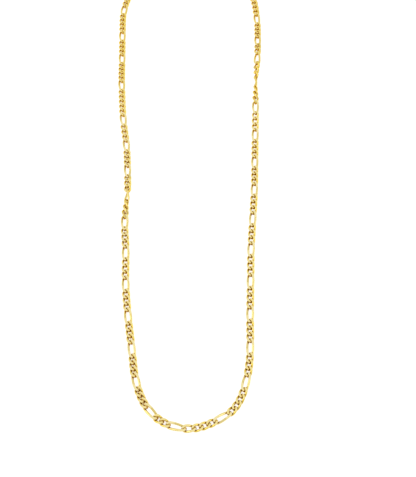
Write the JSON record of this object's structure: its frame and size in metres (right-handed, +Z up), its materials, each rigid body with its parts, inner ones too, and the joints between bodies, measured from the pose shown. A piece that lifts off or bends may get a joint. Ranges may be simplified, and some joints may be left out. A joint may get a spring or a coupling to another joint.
{
  "type": "figaro chain necklace",
  "caption": "Flat-faced figaro chain necklace: runs of short curb links between long ones, in a closed loop with a claw clasp and two jump rings.",
  "frame": {"origin": "middle of the loop's box, on the surface that the chain lies on", "axes": "+Z up from the surface, +Y along the loop from its bottom bend to its clasp, +X to the right seen from above with the clasp at the top"},
  "size_m": [0.0634, 0.2297, 0.004],
  "materials": {
    "gold": "polished",
    "clasp_gold": "polished"
  },
  "bodies": {
    "root": {"short_links": "gold", "long_links": "gold", "clasp": "clasp_gold", "clasp_ring": "clasp_gold", "end_ring": "clasp_gold"}
  },
  "joints": []
}
